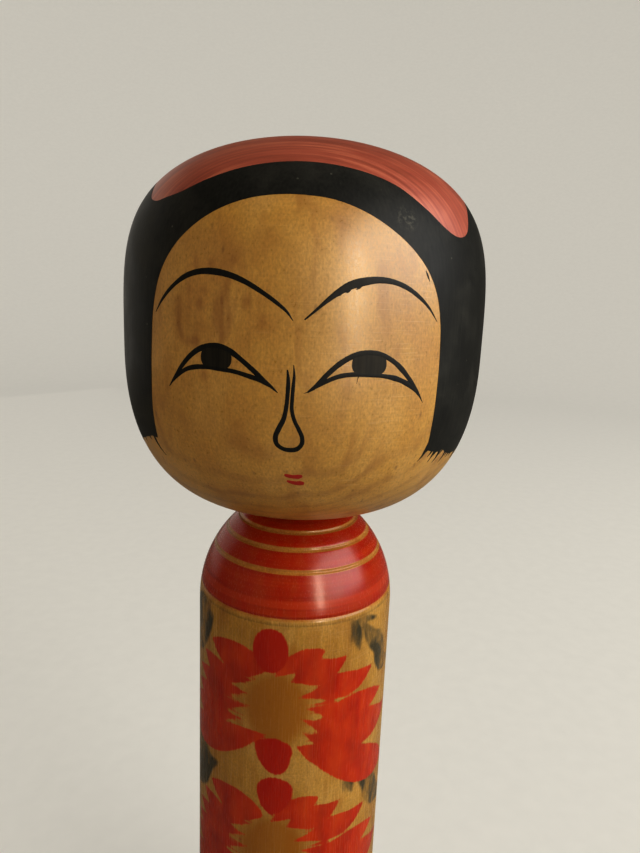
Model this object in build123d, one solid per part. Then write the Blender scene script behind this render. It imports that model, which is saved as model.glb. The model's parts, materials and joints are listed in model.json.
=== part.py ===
from build123d import *
import os
from math import acos, cos, hypot, sqrt

# A turned wooden doll, 303 mm tall (one shaku): a rounded-box head on a straight
# round body, joined by a hardwood neck peg.
#
# Millimetres, +Z up.  The origin is the centre of the base, on the surface that
# the doll stands on.  The face looks along -Y.  Every piece is turned about Z.

# --- driving dimensions --------------------------------------------------------
TOTAL_HEIGHT = 303.0        # base to crown
BODY_DIAMETER = 61.0        # straight barrel of the body
SEAT_HEIGHT = 199.0         # where the head rests on the shoulders
SHOULDER_HEIGHT = 167.4     # where the barrel ends and the shoulder dome begins
HEAD_DIAMETER = 102.7       # at the cheeks
CHEEK_HEIGHT = 247.0        # height of the widest place of the head

# Head profile.  Above and below the cheeks the radius falls off as
#     radius = R * (1 - s**drop) ** (1 / round)
# where s runs from 0 at the cheeks to 1 at the crown or the underside.
CROWN_DROP, CROWN_ROUND = 3.93, 1.98
JAW_DROP, JAW_ROUND = 2.42, 3.14
PROFILE_STEPS = (0.0, 0.3, 0.5, 0.65, 0.77, 0.86, 0.93, 0.975, 0.995)
DOME_STEPS = 7              # spans of the smooth curve that follows the shoulder dome

SEAT_RADIUS = 10.5          # flat on top of the shoulders
UNDERSIDE_RADIUS = 11.0     # flat under the head, which turns on that seat

# Neck peg: pressed into the body, a running fit in the head.
PEG_DIAMETER = 12.0
PEG_DEPTH_IN_BODY = 30.0
PEG_DEPTH_IN_HEAD = 26.0
PEG_CHAMFER = 1.0
HEAD_CLEARANCE = 0.05       # between the peg and the head's bore, on the radius
BORE_END_GAP = 1.5          # air left beyond each end of the peg
DRILL_TIP = 3.0             # depth of the cone that the drill leaves
MOUTH_CHAMFER = 0.5         # broken edge at the mouth of each bore

# Base: a shallow dish, so that the doll stands on its rim, with the lathe's marks.
BASE_EDGE_CHAMFER = 0.8
DISH_RADIUS = 24.0
DISH_DEPTH = 0.8
CLAW_COUNT = 4
CLAW_LENGTH, CLAW_WIDTH, CLAW_DEPTH = 6.0, 1.1, 1.4
CLAW_CIRCLE = 9.0           # radius of the circle that the claw marks sit on
CENTRE_MARK_RADIUS = 1.4
CENTRE_MARK_DEPTH = 2.2

# Rings scored round the shoulders with the point of the skew: their radii.
RING_RADII = (18.2, 22.0, 25.7)
HEM_RADIUS = 30.0           # scored line under the shoulder colour, near the dome's foot
SCORE_RADIUS = 0.7          # section of a scored ring
SCORE_DEPTH = 0.25

OVERSHOOT = 1.0             # how far a cut starts outside the surface that it enters

# --- worked out from them ------------------------------------------------------
body_radius = BODY_DIAMETER / 2
head_radius = HEAD_DIAMETER / 2
peg_radius = PEG_DIAMETER / 2
bore_radius = peg_radius + HEAD_CLEARANCE
# The shoulder is a quarter ellipse that passes through the edge of the seat.
dome_height = (SEAT_HEIGHT - SHOULDER_HEIGHT) / sqrt(1 - (SEAT_RADIUS / body_radius) ** 2)
# How steeply that ellipse falls, in mm per mm outwards, where the seat ends.
seat_slope = (dome_height / body_radius) ** 2 * SEAT_RADIUS / (SEAT_HEIGHT - SHOULDER_HEIGHT)


def head_points(rise, drop, roundness):
    """Points (radius, height) of the head's profile, from the cheeks to one end."""
    points = []
    for s in PROFILE_STEPS:
        radius = head_radius * (1 - s**drop) ** (1 / roundness)
        points.append((radius, CHEEK_HEIGHT + rise * s))
    return points


def dome_point(radius):
    """The point (radius, height) of the shoulder dome at a radius."""
    height = SHOULDER_HEIGHT + dome_height * sqrt(1 - (radius / body_radius) ** 2)
    return (radius, height)


def dome_points():
    """Points (radius, height) along the dome, from the barrel up to the seat."""
    seat_angle = acos(SEAT_RADIUS / body_radius)
    angles = [seat_angle * k / DOME_STEPS for k in range(DOME_STEPS)]
    return [dome_point(body_radius * cos(a)) for a in angles] + [(SEAT_RADIUS, SEAT_HEIGHT)]


def bore_section(radius, mouth, depth, upward):
    """Half the section of a drilled hole: chamfered mouth, straight wall, cone at its end."""
    turn = 1 if upward else -1
    outline = Polyline(
        (0, mouth - turn * OVERSHOOT),
        (radius + MOUTH_CHAMFER + OVERSHOOT, mouth - turn * OVERSHOOT),
        (radius, mouth + turn * MOUTH_CHAMFER),
        (radius, mouth + turn * depth),
        (0, mouth + turn * (depth + DRILL_TIP)),
        close=True,
    )
    return make_face(outline)


def score_section(point, centre):
    """The round section of a scored ring, SCORE_DEPTH deep in the surface at point."""
    out = hypot(point[0] - centre[0], point[1] - centre[1])
    lift = (SCORE_RADIUS - SCORE_DEPTH) / out
    radius = point[0] + lift * (point[0] - centre[0])
    height = point[1] + lift * (point[1] - centre[1])
    return Pos(radius, height) * Circle(SCORE_RADIUS)


def turn_on_lathe(section):
    """Spin a half section, drawn as (radius, height), about the doll's axis."""
    return revolve(Plane.XZ * section, Axis.Z)


def turned_head():
    """The head: one turned block, flat underneath, with a blind bore for the peg."""
    crown_rise = TOTAL_HEIGHT - CHEEK_HEIGHT
    jaw_fall = SEAT_HEIGHT - CHEEK_HEIGHT
    upper = head_points(crown_rise, CROWN_DROP, CROWN_ROUND) + [(0, TOTAL_HEIGHT)]
    lower = head_points(jaw_fall, JAW_DROP, JAW_ROUND) + [(UNDERSIDE_RADIUS, SEAT_HEIGHT)]
    crown_line = Spline(*upper, tangents=[(0, 1), (-1, 0)])
    jaw_line = Spline(*lower, tangents=[(0, -1), (-1, 0)])
    underside = Line((UNDERSIDE_RADIUS, SEAT_HEIGHT), (0, SEAT_HEIGHT))
    axis_line = Line((0, SEAT_HEIGHT), (0, TOTAL_HEIGHT))
    section = make_face(Curve() + [crown_line, jaw_line, underside, axis_line])
    depth = PEG_DEPTH_IN_HEAD + BORE_END_GAP
    section -= bore_section(bore_radius, SEAT_HEIGHT, depth, upward=True)
    return turn_on_lathe(section)


def neck_peg():
    """The peg: a plain dowel with chamfered ends."""
    low = SEAT_HEIGHT - PEG_DEPTH_IN_BODY
    high = SEAT_HEIGHT + PEG_DEPTH_IN_HEAD
    outline = Polyline(
        (0, low),
        (peg_radius - PEG_CHAMFER, low),
        (peg_radius, low + PEG_CHAMFER),
        (peg_radius, high - PEG_CHAMFER),
        (peg_radius - PEG_CHAMFER, high),
        (0, high),
        close=True,
    )
    return turn_on_lathe(make_face(outline))


def turned_body():
    """The body: a straight barrel and a shoulder dome, with a blind socket on top."""
    dome = Spline(*dome_points(), tangents=[(0, 1), (-1, seat_slope)])
    sides = Polyline(
        dome @ 1,
        (0, SEAT_HEIGHT),
        (0, 0),
        (body_radius - BASE_EDGE_CHAMFER, 0),
        (body_radius, BASE_EDGE_CHAMFER),
        dome @ 0,
    )
    section = make_face(Curve() + [dome, sides])
    depth = PEG_DEPTH_IN_BODY + BORE_END_GAP
    section -= bore_section(peg_radius, SEAT_HEIGHT, depth, upward=False)
    for radius in RING_RADII:
        section -= score_section(dome_point(radius), (0, SHOULDER_HEIGHT))
    section -= score_section(dome_point(HEM_RADIUS), (0, SHOULDER_HEIGHT))
    section -= base_section()
    return turn_on_lathe(section) - claw_marks()


def base_section():
    """Half the section of the dish under the base and of the centre's mark in it."""
    outline = Polyline(
        (0, -OVERSHOOT),
        (DISH_RADIUS + OVERSHOOT, -OVERSHOOT),
        (DISH_RADIUS - DISH_DEPTH, DISH_DEPTH),
        (CENTRE_MARK_RADIUS, DISH_DEPTH),
        (0, DISH_DEPTH + CENTRE_MARK_DEPTH),
        close=True,
    )
    return make_face(outline)


def claw_marks():
    """The slots that the lathe's drive claws leave in the dish."""
    claw = Pos(CLAW_CIRCLE, 0, DISH_DEPTH) * Box(CLAW_LENGTH, CLAW_WIDTH, 2 * CLAW_DEPTH)
    return [Rot(0, 0, k * 360 / CLAW_COUNT) * claw for k in range(CLAW_COUNT)]


os.makedirs("parts", exist_ok=True)
pieces = {"head": turned_head(), "neck_peg": neck_peg(), "body": turned_body()}
for name, piece in pieces.items():
    export_step(piece, f"parts/{name}.step")
    box = piece.bounding_box()
    print(f"{name}: {piece.volume / 1000:.1f} cm3, z {box.min.Z:.2f} to {box.max.Z:.2f}")
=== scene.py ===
# %% [markdown]
# # A turned wooden doll with a painted face
#
# The doll is two blocks of pale dogwood, turned on a lathe and joined by a neck peg, so that the head
# can be turned by hand.  Everything else is drawn on it with a brush: black ink for the hair and the
# features, red dye for the crown, the shoulders and the stacked chrysanthemums.
#
# Each turned piece is a surface of revolution worked out with numpy.  Each brush mark is a thin film of
# paint laid on that surface, so that its edge is as crisp as a real one.  Dye that soaks into the wood
# has no thickness, so on the body it is a value stored at each point of the mesh.

# %% The frame and the units
import json
from math import radians

import bpy
import numpy as np
from mathutils import Matrix
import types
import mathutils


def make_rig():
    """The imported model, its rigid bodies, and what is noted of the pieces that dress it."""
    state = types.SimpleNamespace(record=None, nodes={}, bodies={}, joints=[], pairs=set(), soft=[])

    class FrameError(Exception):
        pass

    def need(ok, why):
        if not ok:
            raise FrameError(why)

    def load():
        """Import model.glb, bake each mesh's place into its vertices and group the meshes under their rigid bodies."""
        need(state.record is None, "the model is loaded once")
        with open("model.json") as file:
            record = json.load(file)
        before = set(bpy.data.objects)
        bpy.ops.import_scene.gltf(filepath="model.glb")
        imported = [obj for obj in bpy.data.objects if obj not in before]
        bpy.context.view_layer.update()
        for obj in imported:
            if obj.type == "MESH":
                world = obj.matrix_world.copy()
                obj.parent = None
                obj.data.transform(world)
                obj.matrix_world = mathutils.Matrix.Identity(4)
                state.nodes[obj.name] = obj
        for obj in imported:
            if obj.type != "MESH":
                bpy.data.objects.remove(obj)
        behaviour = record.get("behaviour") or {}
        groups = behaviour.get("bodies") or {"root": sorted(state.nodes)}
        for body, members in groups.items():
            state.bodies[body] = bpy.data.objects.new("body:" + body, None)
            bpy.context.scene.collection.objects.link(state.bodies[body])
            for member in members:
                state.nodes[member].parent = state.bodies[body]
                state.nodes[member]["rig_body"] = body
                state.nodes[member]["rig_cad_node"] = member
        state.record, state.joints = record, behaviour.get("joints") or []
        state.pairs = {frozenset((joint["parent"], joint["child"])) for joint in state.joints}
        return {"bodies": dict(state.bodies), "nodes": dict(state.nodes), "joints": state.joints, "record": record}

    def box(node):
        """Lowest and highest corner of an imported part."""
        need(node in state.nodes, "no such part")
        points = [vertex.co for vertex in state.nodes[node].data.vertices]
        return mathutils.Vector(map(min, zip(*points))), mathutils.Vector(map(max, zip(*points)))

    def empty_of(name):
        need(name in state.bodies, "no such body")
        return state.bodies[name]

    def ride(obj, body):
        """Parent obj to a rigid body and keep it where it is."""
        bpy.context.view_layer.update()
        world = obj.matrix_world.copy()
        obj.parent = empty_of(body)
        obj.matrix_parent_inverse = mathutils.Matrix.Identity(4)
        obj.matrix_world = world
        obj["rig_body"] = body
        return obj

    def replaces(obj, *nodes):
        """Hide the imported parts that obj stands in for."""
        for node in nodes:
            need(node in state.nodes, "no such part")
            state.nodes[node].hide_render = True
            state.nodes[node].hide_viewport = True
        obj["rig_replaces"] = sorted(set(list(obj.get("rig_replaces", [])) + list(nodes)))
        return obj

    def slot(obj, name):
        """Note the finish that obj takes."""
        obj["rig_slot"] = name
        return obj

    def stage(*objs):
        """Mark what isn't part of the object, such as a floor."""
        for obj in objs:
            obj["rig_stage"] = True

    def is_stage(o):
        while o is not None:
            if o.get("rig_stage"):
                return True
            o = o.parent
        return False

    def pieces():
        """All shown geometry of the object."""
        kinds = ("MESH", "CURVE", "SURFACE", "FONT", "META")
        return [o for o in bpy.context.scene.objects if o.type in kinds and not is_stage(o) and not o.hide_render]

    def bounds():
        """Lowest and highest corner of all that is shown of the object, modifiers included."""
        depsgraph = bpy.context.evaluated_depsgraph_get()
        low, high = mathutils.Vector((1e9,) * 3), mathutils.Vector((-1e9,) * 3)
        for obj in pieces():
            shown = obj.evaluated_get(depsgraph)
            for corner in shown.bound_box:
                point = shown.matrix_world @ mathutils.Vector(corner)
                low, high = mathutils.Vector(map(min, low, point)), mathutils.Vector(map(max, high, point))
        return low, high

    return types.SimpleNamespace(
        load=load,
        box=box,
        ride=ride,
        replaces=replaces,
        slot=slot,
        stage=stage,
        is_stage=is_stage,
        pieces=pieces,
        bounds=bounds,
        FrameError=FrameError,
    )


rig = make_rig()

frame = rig.load()
cad_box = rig.bounds()

MM = 0.001                      # lengths below are in millimetres, and Blender's are in metres
head_low, head_high = (np.array(corner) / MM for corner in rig.box("head"))
body_low, body_high = (np.array(corner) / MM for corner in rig.box("body"))
print("head", head_low.round(2), head_high.round(2))
print("body", body_low.round(2), body_high.round(2))

# %% [markdown]
# ## Turned outlines
#
# A turner works to an outline: how far the surface stands from the axis at each height.  Here an outline
# is kept against the distance walked along it, because a brush also travels along the surface.  A point
# of the surface is then given by an azimuth and a walk.  Azimuth 0 is the middle of the face, at -Y, and
# it grows towards +X.

# %% An outline and the points on it
class Outline:
    """Radius and height against the distance walked along a turned surface, with its outward normal."""

    def __init__(self, radius, height, step=0.02):
        walk = np.concatenate([[0.0], np.cumsum(np.hypot(np.diff(radius), np.diff(height)))])
        keep = np.concatenate([[True], np.diff(walk) > 0])
        self.walk = np.arange(0.0, walk[-1], step)
        self.radius = np.interp(self.walk, walk[keep], radius[keep])
        self.height = np.interp(self.walk, walk[keep], height[keep])
        self.length = self.walk[-1]

    def at(self, walk):
        return np.interp(walk, self.walk, self.radius), np.interp(walk, self.walk, self.height)

    def normal(self, walk):
        """Out of the surface: the walk's own direction turned a quarter, in (radius, height)."""
        reach = 0.3
        r0, z0 = self.at(walk - reach)
        r1, z1 = self.at(walk + reach)
        length = np.maximum(np.hypot(r1 - r0, z1 - z0), 1e-9)
        return (z0 - z1) / length, (r1 - r0) / length

    def place(self, azimuth, walk, lift=0.0):
        """Points in millimetres: azimuth in degrees, lifted off the surface along its normal."""
        radius, height = self.at(walk)
        normal_r, normal_z = self.normal(walk)
        radius = np.maximum(radius + lift * normal_r, 0.0)
        height = height + lift * normal_z
        turn = np.radians(azimuth)
        return np.stack([radius * np.sin(turn), -radius * np.cos(turn), height], -1)


# %% The head's outline
CHEEK_HEIGHT = 247.0            # widest place of the head
CROWN_DROP, CROWN_ROUND = 3.93, 1.98
JAW_DROP, JAW_ROUND = 2.42, 3.14
UNDERSIDE_RADIUS = 11.0         # the flat that turns on the shoulders
BORE_RADIUS, BORE_DEPTH, DRILL_TIP, MOUTH_CHAMFER = 6.05, 27.5, 3.0, 0.5
PAINT_ROOM = 0.06               # the wood stands this far inside the designed size, so the paint fits


def head_side(rise, drop, roundness):
    """From the cheeks to one end: radius = R * (1 - s**drop) ** (1 / roundness), s from 0 to 1."""
    s = 1 - np.linspace(1.0, 0.0, 3000) ** 3
    radius = (head_high[0] - PAINT_ROOM) * np.maximum(1 - s**drop, 0.0) ** (1 / roundness)
    return radius, CHEEK_HEIGHT + rise * s


crown_r, crown_z = head_side(head_high[2] - PAINT_ROOM - CHEEK_HEIGHT, CROWN_DROP, CROWN_ROUND)
jaw_r, jaw_z = head_side(head_low[2] - CHEEK_HEIGHT, JAW_DROP, JAW_ROUND)
on_side = jaw_r > UNDERSIDE_RADIUS + 1.0
seat = head_low[2]
under_r = [UNDERSIDE_RADIUS, BORE_RADIUS + MOUTH_CHAMFER, BORE_RADIUS, BORE_RADIUS, 0.0]
under_z = [seat, seat, seat + MOUTH_CHAMFER, seat + BORE_DEPTH, seat + BORE_DEPTH + DRILL_TIP]
HEAD = Outline(
    np.concatenate([crown_r[::-1], jaw_r[on_side], under_r]),
    np.concatenate([crown_z[::-1], jaw_z[on_side], under_z]),
)
print("walk over the head from crown to bore tip:", round(HEAD.length, 1), "mm")


def head_walk(height):
    """The walk from the crown down to a height on the head's side."""
    side = slice(0, np.argmin(HEAD.height))
    return np.interp(-np.asarray(height, float), -HEAD.height[side], HEAD.walk[side])


# %% The body's outline
BARREL_TOP = 167.4              # where the barrel ends and the shoulder dome begins
SEAT_RADIUS, SOCKET_RADIUS, SOCKET_DEPTH = 10.5, 6.0, 31.5
RING_RADII = (18.2, 22.0, 25.7)  # rings scored round the shoulders
HEM_RADIUS = 30.0               # scored line under the shoulder colour
SCORE_RADIUS, SCORE_DEPTH = 0.7, 0.25
EDGE_CHAMFER, DISH_RADIUS, DISH_DEPTH = 0.8, 24.0, 0.8
CENTRE_RADIUS, CENTRE_DEPTH = 1.4, 2.2

body_radius = body_high[0]
seat_share = np.sqrt(1 - (SEAT_RADIUS / body_radius) ** 2)
dome_height = (body_high[2] - BARREL_TOP) / seat_share
dome_angle = np.linspace(np.arccos(SEAT_RADIUS / body_radius), 0.0, 3000)
socket_r = [0.0, SOCKET_RADIUS, SOCKET_RADIUS, SOCKET_RADIUS + MOUTH_CHAMFER]
socket_z = body_high[2] - np.array([SOCKET_DEPTH + DRILL_TIP, SOCKET_DEPTH, MOUTH_CHAMFER, 0.0])
dish_floor = DISH_RADIUS - DISH_DEPTH
foot_r = [body_radius, body_radius - EDGE_CHAMFER, DISH_RADIUS, dish_floor, CENTRE_RADIUS, 0.0]
foot_z = [EDGE_CHAMFER, 0.0, 0.0, DISH_DEPTH, DISH_DEPTH, DISH_DEPTH + CENTRE_DEPTH]
BODY = Outline(
    np.concatenate([socket_r, body_radius * np.cos(dome_angle), foot_r]),
    np.concatenate([socket_z, BARREL_TOP + dome_height * np.sin(dome_angle), foot_z]),
)
shoulder = slice(int(np.argmax(BODY.height)), int(np.argmax(BODY.radius >= body_radius - 1e-6)))
scored_walks = np.interp(RING_RADII + (HEM_RADIUS,), BODY.radius[shoulder], BODY.walk[shoulder])
print("scored rings at heights", BODY.at(scored_walks)[1].round(1), "mm")


# %% [markdown]
# ## Skins
#
# A turned skin is a grid: rows along the walk, columns round the azimuth, with one point at each pole.
# The rows are closer together where a tool has left something small, such as a scored ring.

# %% Making a mesh and turning a skin
def make_object(name, points, faces, sharp=40.0):
    """A smooth-shaded mesh object from points in millimetres and faces as lists of indices."""
    mesh = bpy.data.meshes.new(name)
    mesh.from_pydata((np.asarray(points) * MM).tolist(), [], faces)
    mesh.validate()
    mesh.shade_smooth()
    mesh.set_sharp_from_angle(angle=radians(sharp))
    obj = bpy.data.objects.new(name, mesh)
    bpy.context.scene.collection.objects.link(obj)
    print(f"{name}: {len(mesh.vertices)} points, {len(mesh.polygons)} faces")
    return obj


def turned_grid(outline, walks, columns):
    """Azimuths and walks of a closed skin's points, and its faces.  The first and last are the poles."""
    azimuth = np.arange(columns) * 360.0 / columns - 180.0
    rows = walks[1:-1]
    grid_a, grid_w = np.meshgrid(azimuth, rows)
    all_a = np.concatenate([[0.0], grid_a.ravel(), [0.0]])
    all_w = np.concatenate([[walks[0]], grid_w.ravel(), [walks[-1]]])
    here = 1 + np.arange(len(rows) * columns).reshape(len(rows), columns)
    right = np.roll(here, -1, axis=1)
    quads = np.stack([here[:-1], here[1:], right[1:], right[:-1]], -1).reshape(-1, 4)
    first = np.stack([np.zeros(columns, int), here[0], right[0]], -1)
    last = np.stack([np.full(columns, len(all_a) - 1), right[-1], here[-1]], -1)
    return all_a, all_w, first.tolist() + quads.tolist() + last.tolist()


# %% The head's skin
HEAD_COLUMNS = 300
head_rows = np.unique(np.concatenate([
    np.linspace(0.0, HEAD.length, 240),
    HEAD.length - np.linspace(0.0, 45.0, 60),
]))
head_a, head_w, head_faces = turned_grid(HEAD, head_rows, HEAD_COLUMNS)
head_wood = make_object("head_wood", HEAD.place(head_a, head_w), head_faces)
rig.replaces(head_wood, "head")
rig.slot(head_wood, "head_wood")
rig.ride(head_wood, "head")

# %% [markdown]
# ## The body
#
# The body is a straight barrel under a domed shoulder.  The turner scores rings into the spinning
# shoulder with the point of a skew: a groove whose section is part of a circle.  Under the base the
# lathe's four drive claws have left short slots, and its centre a small cone.

# %% The body's skin
BODY_COLUMNS = 252              # with the rows below, just under 200,000 triangles
CLAW_CIRCLE, CLAW_LENGTH, CLAW_WIDTH, CLAW_DEPTH = 9.0, 6.0, 1.1, 1.4


def score_depth(walk):
    """How deep the grooves are at a walk: the chord of a circle that dips into the surface."""
    away = np.abs(np.subtract.outer(walk, scored_walks)).min(-1)
    inside = np.sqrt(np.maximum(SCORE_RADIUS**2 - away**2, 0.0))
    return np.maximum(inside - (SCORE_RADIUS - SCORE_DEPTH), 0.0)


def claw_rise(points):
    """How far the claws' slots rise into the base, at points of the dish."""
    x, y = np.abs(points[:, 0]), np.abs(points[:, 1])
    along, across = np.maximum(x, y), np.minimum(x, y)
    in_slot = (np.abs(along - CLAW_CIRCLE) < CLAW_LENGTH / 2) & (across < CLAW_WIDTH / 2)
    in_dish = points[:, 2] < DISH_DEPTH + 0.05
    return np.where(in_slot & in_dish, CLAW_DEPTH, 0.0)


groove_rows = np.add.outer(scored_walks, np.linspace(-0.6, 0.6, 9)).ravel()
seat_walk = BODY.walk[shoulder.start]
foot_walk = BODY.walk[shoulder.stop] + BARREL_TOP - EDGE_CHAMFER
body_rows = np.unique(np.concatenate([
    np.linspace(0.0, seat_walk, 14), np.linspace(seat_walk, foot_walk, 284),
    np.linspace(foot_walk, BODY.length, 56), groove_rows,
]).round(3))
body_a, body_w, body_faces = turned_grid(BODY, body_rows, BODY_COLUMNS)
body_points = BODY.place(body_a, body_w, -score_depth(body_w))
body_points[:, 2] += claw_rise(body_points)
body_wood = make_object("body_wood", body_points, body_faces)
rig.replaces(body_wood, "body")
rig.slot(body_wood, "body_wood")
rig.ride(body_wood, "body")

# %% [markdown]
# ## Brush marks
#
# A loaded brush leaves a mark that swells where it is pressed and ends in a point where it lifts.  So a
# brush mark is a line of a few chosen places, a smooth curve through them, and a width that follows the
# pressure.  Its section is carried along that curve: domed by a twentieth of a millimetre, with its
# edges just under the wood.

# %% A smooth line and a brush mark
FILM = 0.05                     # how far dried ink stands off the wood


def smooth_line(places, count):
    """A smooth curve through places: piecewise cubic, with each slope taken from its neighbours."""
    places = np.asarray(places, float)
    gaps = np.hypot(*(places[1:, :2] - places[:-1, :2]).T)
    at = np.concatenate([[0.0], np.cumsum(gaps)])
    slopes = np.gradient(places, at, axis=0)
    t = np.linspace(0.0, at[-1], count)
    k = np.clip(np.searchsorted(at, t, side="right") - 1, 0, len(at) - 2)
    width = (at[k + 1] - at[k])[:, None]
    u = ((t - at[k])[:, None]) / width
    return (
        (1 + 2 * u) * (1 - u) ** 2 * places[k] + u * (1 - u) ** 2 * width * slopes[k]
        + u**2 * (3 - 2 * u) * places[k + 1] - u**2 * (1 - u) * width * slopes[k + 1]
    )


def brush_surface(places, count=120, film=FILM, waver=0.04, seed=1):
    """Points and faces of one mark.  Each place is (azimuth in degrees, height in mm, width in mm)."""
    places = np.asarray(places, float)
    reach = head_high[0] * np.pi / 180
    flat = np.column_stack([places[:, 0] * reach, head_walk(places[:, 1]), places[:, 2]])
    line = smooth_line(flat, count)
    draw = np.random.default_rng(seed)
    grit = np.convolve(draw.normal(0, waver, count + 8), np.ones(9) / 3, "valid")
    half = np.maximum(line[:, 2] / 2 * (1 + grit), 0.03)
    radius = HEAD.at(line[:, 1])[0]
    ahead = np.gradient(line[:, :2], axis=0)
    ahead /= np.maximum(np.hypot(*ahead.T), 1e-9)[:, None]
    across = np.linspace(-1.0, 1.0, 9)
    lift = np.append(film * np.sqrt(1 - across**2) * 1.4 - 0.02, -film)
    across = np.append(across, 0.0)
    side = half[:, None] * across
    azimuth = np.degrees(np.radians(line[:, :1] / reach) + ahead[:, 1:] * side / radius[:, None])
    walk = line[:, 1:2] - ahead[:, :1] * side
    points = HEAD.place(azimuth, walk, lift[None, :]).reshape(-1, 3)
    ring = len(across)
    start = np.arange(count - 1)[:, None] * ring + np.arange(ring)
    after = np.arange(count - 1)[:, None] * ring + np.roll(np.arange(ring), -1)
    quads = np.stack([start, start + ring, after + ring, after], -1).reshape(-1, 4).tolist()
    caps = [list(range(ring)), list(range(count * ring - 1, (count - 1) * ring - 1, -1))]
    return points, quads + caps


def brush_marks(name, strokes, **settings):
    """One object of several marks, which may cross."""
    points, faces, used = [], [], 0
    for k, places in enumerate(strokes):
        more, sides = brush_surface(places, seed=k + len(name), **settings)
        faces += [[corner + used for corner in side] for side in sides]
        points.append(more)
        used += len(more)
    return make_object(name, np.concatenate(points), faces)


# %% [markdown]
# ## Painted areas
#
# Hair, crown and pupils are areas rather than lines.  Each is described by a signed distance: how far a
# place is from the area's edge, negative inside.  The film is a fine grid over the surface, and every
# triangle that the edge crosses is cut exactly where the distance is nought.

# %% Distances on a flat chart
def distance_to_edge(x, y, outline):
    """Signed distance from points to a closed outline of many short sides, negative inside."""
    points = np.column_stack([np.ravel(x), np.ravel(y)])
    start, end = outline, np.roll(outline, -1, axis=0)
    side = end - start
    nearest = np.empty(len(points))
    inside = np.empty(len(points), bool)
    for low in range(0, len(points), 8000):
        p = points[low:low + 8000, None, :]
        share = np.clip(((p - start) * side).sum(-1) / (side**2).sum(-1), 0.0, 1.0)
        gap = p - start - share[..., None] * side
        nearest[low:low + 8000] = np.sqrt((gap**2).sum(-1).min(-1))
        spans = (start[:, 1] > p[..., 1]) != (end[:, 1] > p[..., 1])
        lean = side[:, 0] / np.where(side[:, 1] == 0, 1e-12, side[:, 1])
        cross = start[:, 0] + (p[..., 1] - start[:, 1]) * lean
        inside[low:low + 8000] = (spans & (p[..., 0] < cross)).sum(-1) % 2 == 1
    return np.where(inside, -nearest, nearest).reshape(np.shape(x))


def closed_outline(places, count=400):
    """A smooth closed outline through a few places."""
    looped = np.concatenate([places[-3:], places, places[:3]])
    line = smooth_line(looped, count * 3)
    gaps = np.hypot(*(np.diff(looped, axis=0)).T)
    at = np.concatenate([[0.0], np.cumsum(gaps)])
    t = np.linspace(0.0, at[-1], count * 3)
    own = (t >= at[3]) & (t < at[-3])
    return line[own]


def distance_to_strokes(x, y, strokes, count=50):
    """Signed distance to a set of tapered strokes, each a list of (x, y, width)."""
    points = np.column_stack([np.ravel(x), np.ravel(y)])
    nearest = np.full(len(points), 1e3)
    for stroke in strokes:
        line = smooth_line(stroke, count)
        half = np.maximum(line[:, 2], 0.02) / 2
        reach = half.max() + 3.0
        box_low, box_high = line[:, :2].min(0) - reach, line[:, :2].max(0) + reach
        near = ((points > box_low) & (points < box_high)).all(-1).nonzero()[0]
        gap = np.sqrt(((points[near, None, :] - line[:, :2]) ** 2).sum(-1)) - half
        nearest[near] = np.minimum(nearest[near], gap.min(-1))
    return nearest.reshape(np.shape(x))


# %% Cutting a film out of a grid
def cut_triangles(triangles, value):
    """Keep the part of each triangle where value is negative.  Corners are (azimuth, walk) rows."""
    count = (value < 0).sum(-1)
    kept = [triangles[count == 3]]
    for wanted in (1, 2):
        some, v = triangles[count == wanted], value[count == wanted]
        odd = (v < 0) if wanted == 1 else (v >= 0)
        order = (odd.argmax(-1)[:, None] + np.arange(3)) % 3
        some = np.take_along_axis(some, order[..., None], 1)
        v = np.take_along_axis(v, order, 1)
        left = some[:, 0] + (some[:, 1] - some[:, 0]) * (v[:, 0] / (v[:, 0] - v[:, 1]))[:, None]
        right = some[:, 0] + (some[:, 2] - some[:, 0]) * (v[:, 0] / (v[:, 0] - v[:, 2]))[:, None]
        if wanted == 1:
            kept.append(np.stack([some[:, 0], left, right], 1))
        else:
            kept.append(np.stack([left, some[:, 1], some[:, 2]], 1))
            kept.append(np.stack([left, some[:, 2], right], 1))
    return np.concatenate(kept)


def paint_film(name, outline, azimuths, walks, distance, film=FILM, sink=0.03):
    """A closed thin film over the part of a grid where distance(azimuth, walk) is negative."""
    grid_a, grid_w = np.meshgrid(azimuths, walks)
    value = distance(grid_a, grid_w)
    value = np.where(np.abs(value) < 1e-4, 1e-4, value)
    corner = np.arange(grid_a.size).reshape(grid_a.shape)
    a, b, c, d = corner[:-1, :-1], corner[1:, :-1], corner[1:, 1:], corner[:-1, 1:]
    halves = np.stack([a, b, c], -1), np.stack([a, c, d], -1)
    index = np.concatenate([half.reshape(-1, 3) for half in halves])
    flat = np.column_stack([grid_a.ravel(), grid_w.ravel()])
    cut = cut_triangles(flat[index], value.ravel()[index]).reshape(-1, 2)
    solid = outline.place(cut[:, 0], cut[:, 1])
    keys, first, merged = np.unique(
        (solid / 1e-3).round().astype(np.int64), axis=0, return_index=True, return_inverse=True
    )
    faces = merged.reshape(-1, 3)
    whole = (faces[:, 0] != faces[:, 1]) & (faces[:, 1] != faces[:, 2]) & (faces[:, 2] != faces[:, 0])
    faces = faces[whole]
    chart = cut[first]
    top = outline.place(chart[:, 0], chart[:, 1], film)
    under = outline.place(chart[:, 0], chart[:, 1], -sink)
    size = len(top)
    edge = np.concatenate([faces[:, [0, 1]], faces[:, [1, 2]], faces[:, [2, 0]]])
    code, back = edge[:, 0] * size + edge[:, 1], edge[:, 1] * size + edge[:, 0]
    rim = edge[~np.isin(code, back)]
    walls = np.stack([rim[:, 1], rim[:, 0], rim[:, 0] + size, rim[:, 1] + size], -1)
    all_faces = faces.tolist() + (faces[:, ::-1] + size).tolist() + walls.tolist()
    return make_object(name, np.concatenate([top, under]), all_faces, sharp=60.0)


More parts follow.
